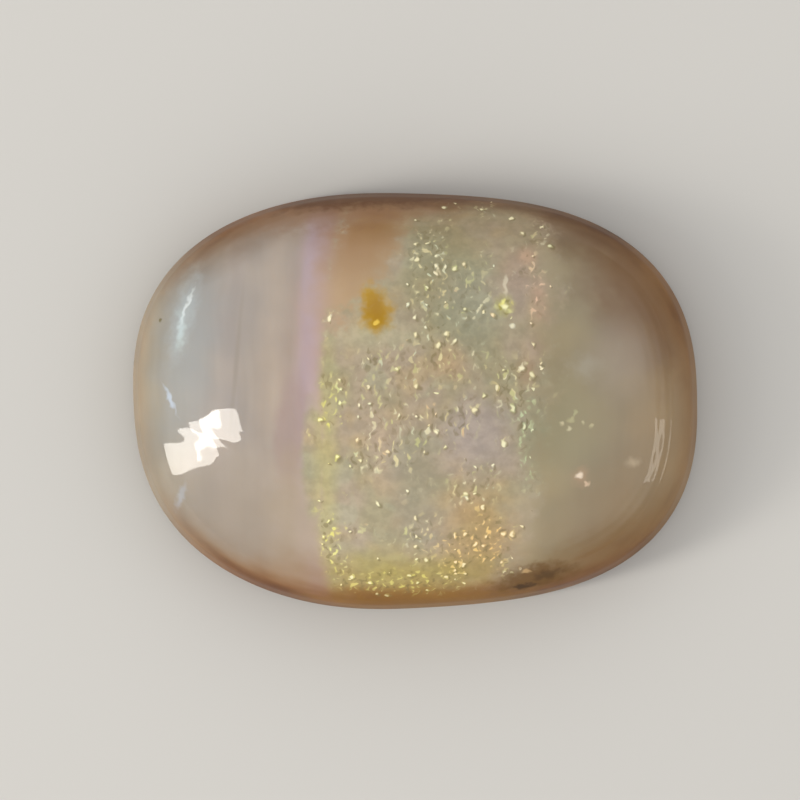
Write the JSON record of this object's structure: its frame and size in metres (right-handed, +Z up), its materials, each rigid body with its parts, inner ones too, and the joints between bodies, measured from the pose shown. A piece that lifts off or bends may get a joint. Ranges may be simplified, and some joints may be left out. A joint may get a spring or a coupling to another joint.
{
  "type": "polished opal cabochon",
  "caption": "Cushion-oval opal cabochon with a domed polished face, sloping side and flat back, milky banded body and a band of pinfire.",
  "frame": {"origin": "middle of the flat back, where the stone rests", "axes": "+X along the stone's length, +Y along its width, +Z up out of the domed face"},
  "size_m": [0.016, 0.0118, 0.0045],
  "materials": {
    "opal": "polished, milky and translucent, with pinfire"
  },
  "bodies": {
    "root": {"opal": "opal"}
  },
  "joints": []
}
